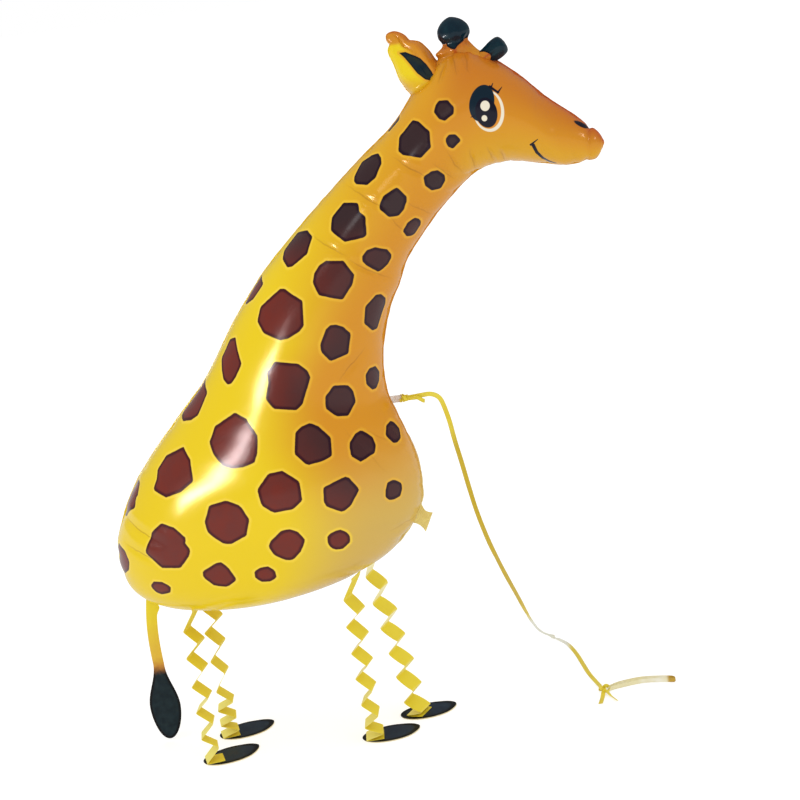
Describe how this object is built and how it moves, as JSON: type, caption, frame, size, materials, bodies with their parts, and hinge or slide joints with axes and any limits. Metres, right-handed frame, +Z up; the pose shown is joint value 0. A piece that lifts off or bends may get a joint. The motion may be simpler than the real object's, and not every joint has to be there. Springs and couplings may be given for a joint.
{
  "type": "giraffe foil balloon",
  "caption": "Foil balloon shaped like a spotted giraffe, standing on folded paper strip legs with flat card hooves, with a hanging tail and a ribbon leash with a hand loop.",
  "frame": {"origin": "on the floor, under the middle of the balloon's length and width, leash left out", "axes": "+X towards the nose, +Y towards the giraffe's left side, +Z up"},
  "size_m": [0.5844, 0.3332, 0.748],
  "materials": {
    "printed_foil": "glossy printed metallised film, yellow with brown spots, orange head",
    "yellow_paper": "matt yellow paper; the tail's tip is dark slate",
    "slate_card": "smooth dark slate card",
    "yellow_ribbon": "glossy flat ribbon, yellow fading to cream",
    "clear_film": "pale translucent film"
  },
  "bodies": {
    "root": {"foil_envelope": "printed_foil", "leg_near_rear": "yellow_paper", "leg_far_rear": "yellow_paper", "leg_near_front": "yellow_paper", "leg_far_front": "yellow_paper", "hoof_near_rear": "slate_card", "hoof_far_rear": "slate_card", "hoof_near_front": "slate_card", "hoof_far_front": "slate_card", "tail": "yellow_paper", "leash_tab": "clear_film", "leash_ribbon": "yellow_ribbon", "leash_knot": "yellow_ribbon", "leash_loop": "yellow_ribbon"}
  },
  "joints": []
}
